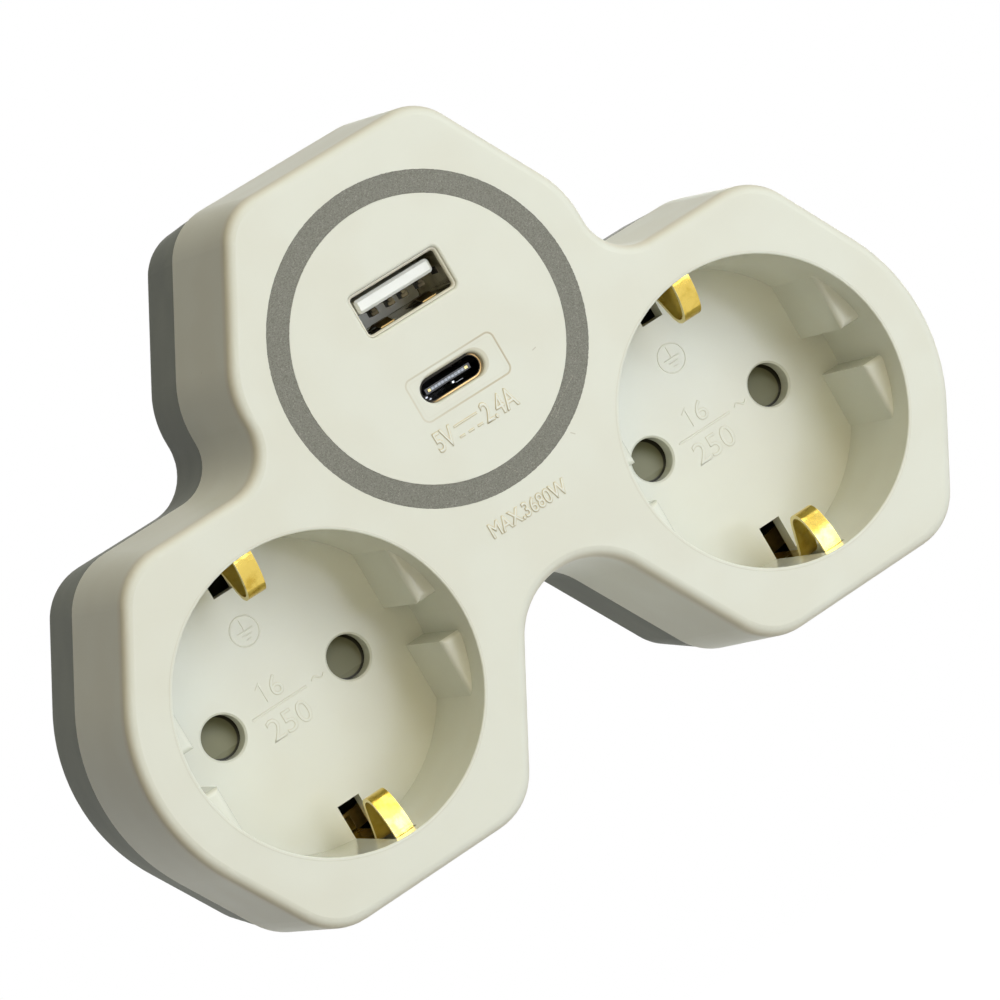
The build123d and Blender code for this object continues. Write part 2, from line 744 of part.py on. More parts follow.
# Charging controller on the board's front, fuse on its back
with BuildPart() as controller_chip:
    with BuildSketch(face_plane(board_front_y)):
        with Locations((chip_x, usb_c_z + 0.5)):
            Rectangle(chip_w, chip_h)
    extrude(amount=chip_t)
controller_chip.part.label = "controller_chip"
export_step(controller_chip.part, "parts/controller_chip.step")

with BuildPart() as fuse:
    with BuildSketch(face_plane(board_back_y + fuse_t)):
        with Locations((fuse_x, fuse_z)):
            Circle(fuse_r)
    extrude(amount=fuse_t)
fuse.part.label = "fuse"
export_step(fuse.part, "parts/fuse.step")

# Supply leads from the board to the two bars
leads = (
    ("line_lead", -lead_x, lead_in, line_bar_y - strip_t),
    ("neutral_lead", lead_x, -lead_in, neutral_bar_y - strip_t),
)
for name, x, inward, bar_front_y in leads:
    with BuildPart() as lead:
        with BuildLine():
            Spline(
                (x, board_back_y, lead_z),
                (x, board_back_y + 3.5, lead_z - 0.4),
                (x + inward, bar_front_y - 2.5, lead_z - 1.2),
                (x + inward, bar_front_y, lead_z - 1.2),
                tangents=((0, 1, 0), (0, 1, 0)),
            )
        route = lead.pending_edges_as_wire
        with BuildSketch(Plane(origin=route @ 0, z_dir=route % 0)):
            Circle(wire_r)
        sweep(path=route)
    lead.part.label = name
    export_step(lead.part, f"parts/{name}.step")
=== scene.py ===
# %% [markdown]
# # A double socket adapter, dressed in Blender
# The object is a wall adapter with two earthed sockets and a charging lobe, moulded in cream and
# grey plastic. Its pieces come in as a fixed frame at their real size, in metres: X to the right,
# Z up, and Y from the room into the wall, with the origin on the plug's axis at the flat back.
# This lesson adds what a moulding shop and a plating shop add: plastic grain, moulded marks,
# bright metal, and the light to see them by.

# %% Load the frame
from math import cos, pi, radians, sin

import bmesh
import bpy
from mathutils import Matrix, Vector


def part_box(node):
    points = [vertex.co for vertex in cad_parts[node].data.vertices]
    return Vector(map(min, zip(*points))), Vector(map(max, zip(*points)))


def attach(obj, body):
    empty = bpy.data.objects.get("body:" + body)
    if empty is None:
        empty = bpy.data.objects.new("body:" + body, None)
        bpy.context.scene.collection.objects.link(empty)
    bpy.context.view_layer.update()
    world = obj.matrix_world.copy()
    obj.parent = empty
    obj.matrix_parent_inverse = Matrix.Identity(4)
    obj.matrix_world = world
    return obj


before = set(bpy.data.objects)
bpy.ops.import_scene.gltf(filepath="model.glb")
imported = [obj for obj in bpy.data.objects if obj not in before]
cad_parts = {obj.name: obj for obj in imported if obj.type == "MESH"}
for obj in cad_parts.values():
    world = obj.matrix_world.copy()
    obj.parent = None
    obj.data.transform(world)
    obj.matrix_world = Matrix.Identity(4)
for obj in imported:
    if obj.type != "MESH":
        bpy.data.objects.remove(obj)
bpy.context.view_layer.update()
MM = 0.001

# %% [markdown]
# ## Writing a finish
# A finish is a small graph of shader nodes. Wiring it by hand takes many lines, so one class wraps
# a socket and lets Python's own operators add the Math nodes. An expression such as
# `1 - grain * 0.2` then reads the way the pattern is thought of. Every other node comes from one
# method, which takes the node's type, its settings and the values of its sockets.

# %% The socket wrapper
class Wire:
    """A number that runs through a graph of shader nodes."""

    def __init__(self, graph, socket):
        self.graph = graph
        self.socket = socket

    def math(self, operation, *values):
        return self.graph.node("ShaderNodeMath", {"operation": operation}, dict(enumerate(values)))

    def __add__(self, other):
        return self.math("ADD", self, other)

    def __sub__(self, other):
        return self.math("SUBTRACT", self, other)

    def __rsub__(self, other):
        return self.math("SUBTRACT", other, self)

    def __mul__(self, other):
        return self.math("MULTIPLY", self, other)

    def __gt__(self, other):
        return self.math("GREATER_THAN", self, other)

    def __lt__(self, other):
        return self.math("LESS_THAN", self, other)

    def __abs__(self):
        return self.math("ABSOLUTE", self)

    def root(self):
        return self.math("SQRT", self)

    def most(self, other):
        return self.math("MAXIMUM", self, other)

    def least(self, other):
        return self.math("MINIMUM", self, other)

    __radd__ = __add__
    __rmul__ = __mul__


class Graph:
    """The nodes of one material or world, and the one way in which nodes are added to them."""

    def __init__(self, tree):
        self.tree = tree

    def node(self, kind, settings=None, sockets=None, output=0):
        made = self.tree.nodes.new(kind)
        for name, value in (settings or {}).items():
            setattr(made, name, value)
        for name, value in (sockets or {}).items():
            if isinstance(value, Wire):
                self.tree.links.new(value.socket, made.inputs[name])
            else:
                made.inputs[name].default_value = value
        return Wire(self, made.outputs[output])

    def outputs(self, wire, *names):
        """Other outputs of the node that a wire comes from."""
        return [Wire(self, wire.socket.node.outputs[name]) for name in names]

    def ramp(self, value, low, high):
        """0 below low, 1 above high, and smooth between them."""
        return self.node("ShaderNodeMapRange", {"interpolation_type": "SMOOTHSTEP"},
                         {"Value": value, "From Min": low, "From Max": high})

    def fade(self, value, low, high):
        """1 below low, 0 above high, and smooth between them."""
        return 1 - self.ramp(value, low, high)

    def mix(self, factor, first, second):
        """A colour between two colours."""
        return self.node("ShaderNodeMix", {"data_type": "RGBA"},
                         {0: factor, 6: first, 7: second}, output=2)


print("wires know:", sorted(name for name in vars(Wire) if name[:2] != "__"))

# %% [markdown]
# A finish is such a graph inside a material. Its patterns are read off the place on the object, so
# they have their real size and need no unwrapped surface. Colours are written as they are seen on a
# screen and turned into the linear values that a shader works in.

# %% The finish builder
def linear(red, green, blue):
    """A screen colour of 0 to 255 as the linear colour that a shader works in."""
    def channel(value):
        value = value / 255
        return value / 12.92 if value <= 0.04045 else ((value + 0.055) / 1.055) ** 2.4
    return (channel(red), channel(green), channel(blue), 1.0)


class Finish(Graph):
    """A material whose Principled shader takes its values from the graph."""

    def __init__(self, name, colour, roughness, metallic=0.0, **constants):
        self.material = bpy.data.materials.new(name)
        self.material.use_nodes = True
        super().__init__(self.material.node_tree)
        self.shader = self.tree.nodes["Principled BSDF"]
        self.shader.inputs["Base Color"].default_value = colour
        self.shader.inputs["Roughness"].default_value = roughness
        self.shader.inputs["Metallic"].default_value = metallic
        for socket, value in constants.items():
            self.shader.inputs[socket.replace("_", " ")].default_value = value
        self.material.diffuse_color = colour
        self.place = self.node("ShaderNodeTexCoord", output="Object")

    def noise(self, size, detail=2.0, stretch=(1, 1, 1), roughness=0.5):
        """Noise whose grains measure about size in metres; stretch makes them longer along an axis."""
        where = self.node("ShaderNodeMapping", sockets={"Vector": self.place,
                                                        "Scale": [1 / s for s in stretch]})
        return self.node("ShaderNodeTexNoise", sockets={
            "Vector": where, "Scale": 1 / size, "Detail": detail, "Roughness": roughness})

    def axes(self):
        """The place on the object as three numbers, in metres."""
        split = self.node("ShaderNodeSeparateXYZ", sockets={"Vector": self.place})
        return self.outputs(split, "X", "Y", "Z")

    def bump(self, height, depth, under=None):
        """A Bump node whose relief is depth metres deep where height goes from 0 to 1."""
        sockets = {"Height": height, "Distance": depth, "Strength": 1.0}
        if under is not None:
            sockets["Normal"] = under
        return self.node("ShaderNodeBump", sockets=sockets)

    def feed(self, **wires):
        for socket, wire in wires.items():
            self.tree.links.new(wire.socket, self.shader.inputs[socket.replace("_", " ")])
        return self


print("finish builder ready")

# %% [markdown]
# ## Cream moulded plastic
# The front cover is a matt-to-satin ABS moulding. Such a surface has a very fine spark-eroded
# grain, a slow waviness where it shrank over its ribs, and a few specks of dust. The grain could
# be modelled, but at a tenth of a millimetre it belongs in the shader as bump. The thin line
# round the small port is a parting line of a mould insert, drawn with the distance to a rounded
# rectangle, so it stays sharp at any zoom. Its two widths say where the line is full and where
# it has faded out. Its darker colour is painted shade, stronger toward the lower right.

# %% Colours and places on the front
CREAM = linear(224, 226, 215)
CREAM_WARM = linear(222, 223, 211)
DUST = linear(150, 138, 112)
FRONT, WELL_FLOOR = -38.5 * MM, -21.0 * MM
FACE_ENDS, WELL_STARTS, RECESS_ENDS = FRONT + 0.2 * MM, FRONT + 0.15 * MM, FRONT + 0.5 * MM
ROUNDING_STARTS = (FRONT + 0.05 * MM, FRONT + 0.5 * MM)
ROUNDING_ENDS = (FRONT + 1.3 * MM, FRONT + 2.7 * MM)
INSERT_CENTRE = (0.7 * MM, -5.85 * MM)
INSERT_HALF = (6.55 * MM, 2.87 * MM)
INSERT_CORNER = 0.9 * MM
INSERT_STEP = 0.5 * MM
INSERT_RELIEF = (-0.12 * MM, 0.02 * MM)
LINE_WIDTHS, STEP_WIDTHS, RIM_WIDTHS = [(a * MM, b * MM) for a, b in (
    (0.05, 0.17), (0.04, 0.14), (0.02, 0.09))]
# Painted shade for the insert's groove and step and for the edge of the well rims.
GROOVE_AND_RIM_SHADE = linear(182, 166, 132)
RECESS_SHADE = linear(196, 191, 168)
SOCKETS = {"left": (-33.5 * MM, -29.8 * MM), "right": (33.5 * MM, -29.8 * MM)}
PIN_REACH = 9.5 * MM
WELL_RADIUS = 19.75 * MM
RIM_RADIUS = 19.95 * MM
RING_EDGES = (17.8 * MM, 20.65 * MM)
# Painted shade, darker and warmer than the face, for the rounded edges round the front face.
ROUNDED_EDGE_SHADE = linear(214, 205, 184)
RING_GREY = linear(126, 126, 117)
SMALL_PORT_CENTRE = (0.05 * MM, -5.5 * MM)
SMALL_PORT_HALF = (4.17 * MM, 1.28 * MM)
RECESS_GROW, RECESS_SHIFT = 0.62 * MM, (0.5 * MM, 0.08 * MM)
FACE_SCRATCHES = [((10.8, -7.9), (11.3, -7.8)), ((9.7, -19.0), (10.1, -19.4))]
FACE_SCRATCH_WIDTH = 0.1 * MM
print("socket axes in m:", SOCKETS)

# %% [markdown]
# Specks, scratches and lines are small on a large surface, and a painted image would blur them.
# Each is worked out instead from how far a place is from a point, a line or a rounded rectangle.

# %% Patterns in a finish
def cells(finish, spacing):
    """Cells of a spacing: how far a place is from its cell's middle, and the cell's own lot."""
    cell = finish.node("ShaderNodeTexVoronoi",
                       sockets={"Vector": finish.place, "Scale": 1 / spacing})
    distance, colour = finish.outputs(cell, "Distance", "Color")
    return distance, finish.node("ShaderNodeSeparateColor", sockets={"Color": colour})


def speckle(finish, spacing, share, size):
    """Small round specks: one in each of a few cells, of the given share of all cells."""
    distance, lot = cells(finish, spacing)
    return (lot < share) * finish.fade(distance, size / spacing * 0.6, size / spacing)


def moulded_grain(finish, size=0.09 * MM, depth=0.004 * MM):
    grain = finish.noise(size, detail=3.0)
    waves = finish.noise(9 * MM, detail=1.0)
    fine = finish.bump(grain, depth)
    return grain, waves, finish.bump(waves, 0.02 * MM, under=fine)


def distance_to(x, z, centre=(0, 0)):
    """How far a place is from an axis that runs along Y through centre."""
    across = x - centre[0]
    along = z - centre[1]
    return (across * across + along * along).root()


def rounded_box(across, along, half, corner):
    """How far a place is outside a rectangle with rounded corners; negative inside it."""
    over_x = abs(across) - (half[0] - corner)
    over_z = abs(along) - (half[1] - corner)
    out_x, out_z = over_x.most(0.0), over_z.most(0.0)
    return (out_x * out_x + out_z * out_z).root() + over_x.most(over_z).least(0.0) - corner


def scratch(finish, x, z, start, end, width):
    """1 along a straight hairline from start to end, given in mm, that fades toward its sides."""
    along = (Vector(end) - Vector(start)) * MM
    reach = along.length
    along.normalize()
    from_x, from_z = x - start[0] * MM, z - start[1] * MM
    run = (from_x * along[0] + from_z * along[1]).most(0.0).least(reach)
    gap = distance_to(from_x - run * along[0], from_z - run * along[1])
    return finish.fade(gap, width * 0.2, width)


def nibbled_edge(finish, radius):
    """1 in the thin uneven band by which the ring's grey runs out over the cream."""
    fray = finish.noise(0.5 * MM, detail=3.0) * (0.16 * MM) - 0.05 * MM
    inner, outer = RING_EDGES
    return abs(radius - (inner + outer) / 2) - (outer - inner) / 2 < fray


print("patterns ready")

# %% [markdown]
# The cream finish lays these patterns over each other: the slow change of colour, painted shade on
# the rounded edges, dust, the insert's line with a step inside it and a line round each well's rim,
# all in painted shade that is stronger toward the lower right on the insert, the painted shade in
# the small port's recess, two scratches, and the uneven edge of the ring's grey. The wells are
# smoother than the face.

# %% Cream plastic
def recess_distance(x, z):
    """How far a place is outside the small port's recess, which has round ends."""
    across = x - SMALL_PORT_CENTRE[0] - RECESS_SHIFT[0]
    along = z - SMALL_PORT_CENTRE[1] - RECESS_SHIFT[1]
    half = [side + RECESS_GROW for side in SMALL_PORT_HALF]
    return rounded_box(across, along, half, half[1])


def cream_plastic():
    finish = Finish("cream_plastic", CREAM, 0.42, Specular_IOR_Level=0.27)
    grain, waves, relief = moulded_grain(finish)
    x, y, z = finish.axes()
    on_face = y < FACE_ENDS
    radius = distance_to(x, z, SOCKETS["left"]).least(distance_to(x, z, SOCKETS["right"]))
    in_well = (radius < WELL_RADIUS) * (y > WELL_STARTS)
    # Painted shade on the rounded edges of the face, left out of the wells.
    rounding_shade = finish.ramp(y, *ROUNDING_STARTS) * finish.fade(y, *ROUNDING_ENDS)
    tint = finish.mix(finish.ramp(waves, 0.35, 0.65), CREAM, CREAM_WARM)
    tint = finish.mix(rounding_shade * (1 - in_well) * 0.45, tint, ROUNDED_EDGE_SHADE)
    tint = finish.mix(speckle(finish, 5 * MM, 0.30, 0.12 * MM) * 0.6, tint, DUST)

    right, up = x - INSERT_CENTRE[0], z - INSERT_CENTRE[1]
    edge = rounded_box(right, up, INSERT_HALF, INSERT_CORNER)
    line = on_face * finish.fade(abs(edge), *LINE_WIDTHS)
    step = on_face * finish.fade(abs(edge + INSERT_STEP), *STEP_WIDTHS)
    rim = on_face * finish.fade(abs(radius - RIM_RADIUS), *RIM_WIDTHS)
    # Painted shade in the insert's line, stronger toward the lower right, a faint painted step inside
    # it, and a painted shade line on the well rims.
    low_right = finish.ramp(right - up, -4 * MM, 6 * MM)
    tint = finish.mix(line * (0.34 + low_right * 0.3) + step * 0.05 + rim * 0.12, tint, GROOVE_AND_RIM_SHADE)

    recess = finish.fade(recess_distance(x, z), -0.1 * MM, 0.05 * MM) * (y < RECESS_ENDS)
    tint = finish.mix(recess * 0.6, tint, RECESS_SHADE)
    for start, end in FACE_SCRATCHES:
        worn = on_face * scratch(finish, x, z, start, end, FACE_SCRATCH_WIDTH)
        tint = finish.mix(worn * 0.4, tint, DUST)
    tint = finish.mix(on_face * nibbled_edge(finish, distance_to(x, z)), tint, RING_GREY)
    relief = finish.bump(finish.ramp(edge, *INSERT_RELIEF) + rim * 0.5, 0.04 * MM, under=relief)
    rough = 0.40 + grain * 0.06 + waves * 0.04 - in_well * 0.30
    return finish.feed(Base_Color=tint, Roughness=rough, Normal=relief)


cover_finish = cream_plastic()
print("cream plastic:", len(cover_finish.tree.nodes), "nodes")

# %% [markdown]
# ## Grey plastics
# The back shell is the same moulding in mid grey. The ring round the charging lobe has glitter in
# it: tiny flakes that catch the light one by one. A Voronoi pattern gives each flake its own
# brightness, and its border is nibbled by noise, as a printed edge is. Where the grey shell meets
# the cream cover there is a dark parting line. The shutters are drawn from the pin holes they
# close: the shade starts where a hole's far edge would show past them.

# %% Grey plastics
PARTING_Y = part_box("front_cover")[1][1] + 0.3 * MM
PARTING_SHADE = linear(46, 46, 38)
PARTING_WIDTHS = (0.02 * MM, 0.1 * MM)
GREY = linear(104, 108, 92)
GREY_DARK = linear(90, 94, 79)
RING_DARK = linear(108, 108, 97)
RING_LIGHT = linear(150, 150, 140)
RING_SCRATCH = linear(172, 170, 156)
RING_SCRATCHES = [((13.7, -13.2), (8.5, -16.0)), ((10.2, -15.6), (8.9, -16.5)),
                  ((5.6, -16.9), (5.1, -17.4)), ((0.3, -18.1), (1.2, -19.6)),
                  ((9.9, -18.4), (9.1, -19.2))]
RING_SCRATCH_WIDTH = 0.07 * MM
FLAKE_SPACING, BRIGHT_FLAKE = 0.11 * MM, 0.95
OLIVE, OLIVE_LIGHT, OLIVE_DARK = linear(122, 122, 96), linear(124, 124, 96), linear(112, 112, 84)
HOLE_SHADE = linear(26, 22, 14)
HOLE_GAP = (2.52 * MM, 2.66 * MM)


def grey_plastic():
    finish = Finish("grey_plastic", GREY, 0.5, Specular_IOR_Level=0.12)
    grain, waves, relief = moulded_grain(finish)
    tint = finish.mix(finish.ramp(waves, 0.3, 0.7), GREY, GREY_DARK)
    tint = finish.mix(grain * 0.3, tint, GREY_DARK)
    x, y, z = finish.axes()
    parting = finish.fade(y - PARTING_Y, *PARTING_WIDTHS)
    tint = finish.mix(parting * 0.8, tint, PARTING_SHADE)
    return finish.feed(Base_Color=tint, Roughness=0.48 + grain * 0.1, Normal=relief)


def glitter_ring():
    finish = Finish("glitter_ring", RING_GREY, 0.4, Specular_IOR_Level=0.3)
    x, y, z = finish.axes()
    grain, waves, relief = moulded_grain(finish, 0.12 * MM, 0.006 * MM)
    flake = cells(finish, FLAKE_SPACING)[1]
    bright = flake > BRIGHT_FLAKE
    tint = finish.mix(finish.ramp(flake, 0.05, 0.6), RING_DARK, RING_GREY)
    tint = finish.mix(bright * 0.6, tint, RING_LIGHT)
    worn = scratch(finish, x, z, *RING_SCRATCHES[0], RING_SCRATCH_WIDTH)
    for start, end in RING_SCRATCHES[1:]:
        worn = worn.most(scratch(finish, x, z, start, end, RING_SCRATCH_WIDTH))
    tint = finish.mix(worn * finish.ramp(flake, 0.1, 0.5) * 0.5, tint, RING_SCRATCH)
    rough = 0.48 - bright * 0.15 + grain * 0.1
    return finish.feed(Base_Color=tint, Roughness=rough, Normal=relief)


def shutter_plastic():
    """Olive grey, with painted shade for the gap that shows round the far edge of each pin hole."""
    finish = Finish("shutter_plastic", OLIVE, 0.36, Specular_IOR_Level=0.3)
    grain, waves, relief = moulded_grain(finish)
    x, y, z = finish.axes()
    holes = [distance_to(x, z, (centre_x + side * PIN_REACH, centre_z))
             for centre_x, centre_z in SOCKETS.values() for side in (-1, 1)]
    nearest = holes[0].least(holes[1]).least(holes[2].least(holes[3]))
    gap = finish.ramp(nearest, *HOLE_GAP)
    tint = finish.mix(waves, OLIVE_LIGHT, OLIVE_DARK)
    # Painted shade of the gap round the far edge of each pin hole.
    tint = finish.mix(gap * 0.9, tint, HOLE_SHADE)
    return finish.feed(Base_Color=tint, Roughness=0.32 + grain * 0.1, Normal=relief)


back_finish = grey_plastic()
ring_finish = glitter_ring()
shutter_finish = shutter_plastic()
print("grey plastics:", [f.material.name for f in (back_finish, ring_finish, shutter_finish)])

# %% [markdown]
# ## Metals
# The earth contacts are brass strip, sheared and bent, with a bright yellow face. A metal's colour
# lives in its reflection, so Metallic is 1 and the work is in the roughness: rolled strip has fine
# streaks along its length, and handling leaves it slightly cloudy. The small port's shell is painted
# dark, and a thin line along its front edge is a painted reflection: gold toward the lower right and
# dark elsewhere.

# %% Metals
STREAK = 0.05 * MM
STREAK_DEPTH = 0.0015 * MM
STRIP_EDGE = (1.27 * MM, 1.29 * MM)
SHELL_RIM = -37.66 * MM
EDGE_REFLECTION_BAND = (0.10 * MM, 0.14 * MM)


def rolled_metal(name, colour, dull, roughness, streak=(1, 1, 12)):
    finish = Finish(name, colour, roughness, metallic=1.0)
    streaks = finish.noise(STREAK, detail=2.0, stretch=streak)
    cloud = finish.noise(2.5 * MM, detail=3.0)
    tint = finish.mix(finish.ramp(cloud, 0.4, 0.75), colour, dull)
    rough = roughness + streaks * 0.08 + finish.ramp(cloud, 0.4, 0.8) * 0.08
    return finish.feed(Base_Color=tint, Roughness=rough, Normal=finish.bump(streaks, STREAK_DEPTH))


def contact_strip():
    """Bright brass strip whose sheared edges, at both ends of its width, are paler and duller."""
    finish = Finish("contact_brass", linear(243, 222, 128), 0.16, metallic=1.0)
    x, y, z = finish.axes()
    cut = finish.ramp(abs(abs(x) - SOCKETS["right"][0]), *STRIP_EDGE)
    streaks = finish.noise(STREAK, detail=2.0, stretch=(1, 1, 12))
    cloud = finish.noise(1.6 * MM, detail=3.0)
    tint = finish.mix(finish.ramp(cloud, 0.4, 0.75), linear(228, 200, 102), linear(204, 172, 72))
    tint = finish.mix(cut, tint, linear(236, 222, 168))
    rough = 0.16 + streaks * 0.08 + finish.ramp(cloud, 0.45, 0.8) * 0.12 + cut * 0.3
    return finish.feed(Base_Color=tint, Roughness=rough, Normal=finish.bump(cloud, 0.06 * MM))


def shell_steel():
    """Tin plate for the wide port; the small one is painted dark, with a painted reflection along its
    front edge, gold toward the lower right and dark elsewhere.
    """
    finish = Finish("port_steel", linear(196, 193, 180), 0.2, metallic=1.0)
    x, y, z = finish.axes()
    streaks = finish.noise(STREAK, detail=2.0, stretch=(12, 1, 1))
    cloud = finish.noise(2.0 * MM, detail=3.0)
    tint = finish.mix(finish.ramp(cloud, 0.35, 0.75), linear(186, 179, 152), linear(146, 138, 112))
    rim = y < SHELL_RIM
    small = z < 0.0
    up = z - SMALL_PORT_CENTRE[1]
    slot_edge = rounded_box(x - SMALL_PORT_CENTRE[0], up, SMALL_PORT_HALF, SMALL_PORT_HALF[1])
    # Painted reflection on the small shell's front edge: gold toward the lower right, painted dark
    # elsewhere.
    reflecting_side = finish.ramp(x * 0.4 - up, -0.2 * MM, 1.0 * MM) * finish.ramp(slot_edge, *EDGE_REFLECTION_BAND)
    painted_edge_light = finish.mix(reflecting_side, linear(34, 32, 28), linear(186, 156, 108))
    tint = finish.mix(small, tint, finish.mix(rim, linear(44, 42, 38), painted_edge_light))
    return finish.feed(Base_Color=tint, Roughness=0.16 + streaks * 0.1 + rim * 0.2,
                       Normal=finish.bump(streaks, STREAK_DEPTH))


def across_grain(name, colour, dull, roughness):
    """Metal whose streaks run into the object."""
    return rolled_metal(name, colour, dull, roughness, streak=(1, 12, 1))


brass = contact_strip()
bar_brass = rolled_metal("bar_brass", linear(214, 186, 110), linear(176, 146, 82), 0.28,
                         streak=(12, 1, 1))
nickel = across_grain("pin_nickel", linear(206, 203, 194), linear(184, 180, 170), 0.2)
steel = rolled_metal("screw_steel", linear(176, 178, 180), linear(140, 142, 146), 0.3)
port_steel = shell_steel()
# The port contacts are gold plating; their dark colour here is painted shade, as they sit in the shade
# of the shell.
gold = across_grain("contact_gold", linear(52, 46, 32), linear(34, 30, 22), 0.25)
# Steel latch springs coloured brown-gold: a painted warm reflection on the steel.
spring_glint = across_grain("spring_painted_glint", linear(128, 106, 66), linear(78, 64, 42), 0.28)
print("metals ready")

# %% [markdown]
# ## Small plastics and the parts inside
# The port tongues, the board and its parts hardly show, yet the shell can be opened in a viewer, so
# each gets its own colour and grain.

# %% Plain mouldings and inner parts
TAPE_YELLOW = linear(224, 190, 60)
TAPE_TURN = 0.45 * MM


def plain_moulding(name, colour, shade, roughness, grain_size=0.08 * MM, depth=0.003 * MM):
    finish = Finish(name, colour, roughness)
    grain = finish.noise(grain_size, detail=2.0)
    cloud = finish.noise(3 * MM, detail=2.0)
    tint = finish.mix(finish.ramp(cloud, 0.3, 0.75), colour, shade)
    rough = roughness + grain * 0.1 - 0.05
    return finish.feed(Base_Color=tint, Roughness=rough, Normal=finish.bump(grain, depth))


def winding_tape():
    """Yellow tape in turns that are TAPE_TURN wide."""
    finish = Finish("winding_tape", TAPE_YELLOW, 0.35)
    turns = finish.node("ShaderNodeTexWave", {"wave_type": "BANDS", "bands_direction": "Z"},
                        {"Vector": finish.place, "Scale": 0.5 / TAPE_TURN, "Distortion": 0.4})
    tint = finish.mix(turns * 0.5, TAPE_YELLOW, linear(186, 148, 40))
    return finish.feed(Base_Color=tint, Roughness=0.3 + turns * 0.2,
                       Normal=finish.bump(turns, 0.03 * MM))


moulding_colours = {
    "carrier_plastic": ((44, 43, 40), (36, 35, 33), 0.5),
    "board_laminate": ((46, 104, 66), (38, 88, 56), 0.35),
    "tongue_white": ((238, 241, 237), (231, 234, 228), 0.35),
    "tongue_black": ((28, 28, 29), (36, 36, 37), 0.38),
    "ferrite": ((58, 57, 56), (72, 71, 69), 0.6, 0.3 * MM, 0.02 * MM),
    "capacitor_sleeve": ((38, 44, 62), (30, 34, 50), 0.3),
    "fuse_body": ((206, 200, 180), (188, 182, 162), 0.4),
    "lead_brown": ((104, 66, 44), (90, 56, 38), 0.4),
    "lead_blue": ((52, 96, 158), (44, 84, 142), 0.4),
}
small_finishes = {
    name: plain_moulding(name, linear(*colour), linear(*shade), *rest)
    for name, (colour, shade, *rest) in moulding_colours.items()}
small_finishes["winding_tape"] = winding_tape()
small_finishes["spring_steel"] = rolled_metal("spring_steel", linear(188, 190, 192),
                                              linear(160, 162, 165), 0.25)
print("small finishes:", len(small_finishes))

# %% [markdown]
# ## Finishes onto the frame's slots
# Each node of the frame names a material slot. One table says which finish goes on which slot, and
# the loop fills every slot of every node, so nothing keeps its plain import colour.

# %% Dress the nodes
slot_finish = dict(small_finishes, cover_plastic=cover_finish, back_plastic=back_finish,
                   ring_plastic=ring_finish, shutter_plastic=shutter_finish, contact_brass=brass,
                   bar_brass=bar_brass, pin_nickel=nickel, screw_steel=steel, port_steel=port_steel,
                   contact_gold=gold)
for name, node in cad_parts.items():
    for place in node.material_slots:
        key = place.material.name.split(".")[0]
        if key not in slot_finish:
            print("no finish for slot", key, "of", name)
            continue
        place.material = slot_finish[key].material
print("dressed", len(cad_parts), "nodes")

# %% [markdown]
# ## Moulded marks
# The rating marks stand about a tenth of a millimetre proud of the plastic. They could be bump,
# but a raised stroke has side walls that catch the light, and the marks should survive in the
# exported mesh, so they are thin solids sunk a little into the face. Text starts as a curve; it
# becomes a mesh at its own size, is scaled to the measured box, and only then is laid on the face.

# %% The marks' plastic
RELIEF = {FRONT: 0.12 * MM, WELL_FLOOR: 0.08 * MM}
SUNK = 0.03 * MM
FINE, BROAD = 0.1 * MM, 0.18 * MM
BETWEEN_FACES = -30 * MM
SLOPE_SHADE = linear(208, 196, 162)


def mark_plastic():
    """The cover's cream, with painted shade in beige on the slopes of each raised stroke."""
    finish = Finish("mark_cream", CREAM, 0.38)
    grain, waves, relief = moulded_grain(finish)
    x, y, z = finish.axes()
    on_front = y < BETWEEN_FACES
    front_top, well_top = [face - RELIEF[face] for face in (FRONT, WELL_FLOOR)]
    below_top = (y - front_top) * on_front + (y - well_top) * (1 - on_front)
    slope = finish.ramp(below_top, 0.004 * MM, 0.03 * MM)
    # Painted shade on the stroke slopes, stronger on the front marks.
    tint = finish.mix(slope * (0.35 + on_front * 0.45), CREAM, SLOPE_SHADE)
    return finish.feed(Base_Color=tint, Roughness=0.36 + grain * 0.06, Normal=relief)


mark_finish = mark_plastic()
print("relief in mm:", {round(face / MM, 1): round(r / MM, 2) for face, r in RELIEF.items()})

# %% [markdown]
# Every new piece rides on a body of the frame and names its slot, so it moves and exports with the
# rest. Strokes, springs and the lip are one kind of shape, a row of rings joined one to the next.

# %% From a shape to a piece
marks = []


def facing_room(x, y, z):
    """Lays a flat shape drawn in XY onto a plane that looks toward the room, centred at x, z."""
    return Matrix(((1, 0, 0, x), (0, 0, -1, y), (0, 1, 0, z), (0, 0, 0, 1)))


def new_piece(name, mesh, finish, body="housing"):
    piece = bpy.data.objects.new(name, mesh)
    bpy.context.scene.collection.objects.link(piece)
    mesh.materials.clear()
    mesh.materials.append(finish.material)
    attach(piece, body)
    return piece


def solid_piece(name, shape, finish):
    """Makes a piece of a finished bmesh."""
    mesh = bpy.data.meshes.new(name)
    shape.to_mesh(mesh)
    shape.free()
    return new_piece(name, mesh, finish)


def skin(shape, rings, closed=False):
    """Joins each ring of vertices to the next, and caps the ends unless the last meets the first."""
    loops = [[shape.edges.new(pair) for pair in zip(ring, ring[1:] + ring[:1])] for ring in rings]
    if not closed:
        shape.faces.new(rings[0])
        shape.faces.new(rings[-1][::-1])
    for near, far in zip(loops, loops[1:] + loops[:1] * closed):
        bmesh.ops.bridge_loops(shape, edges=near + far)
    bmesh.ops.recalc_face_normals(shape, faces=shape.faces)


print("pieces can be made; marks so far:", len(marks))


# %% Moulded text
CAP_HEIGHT = 0.7
STROKE_THIN = -0.02


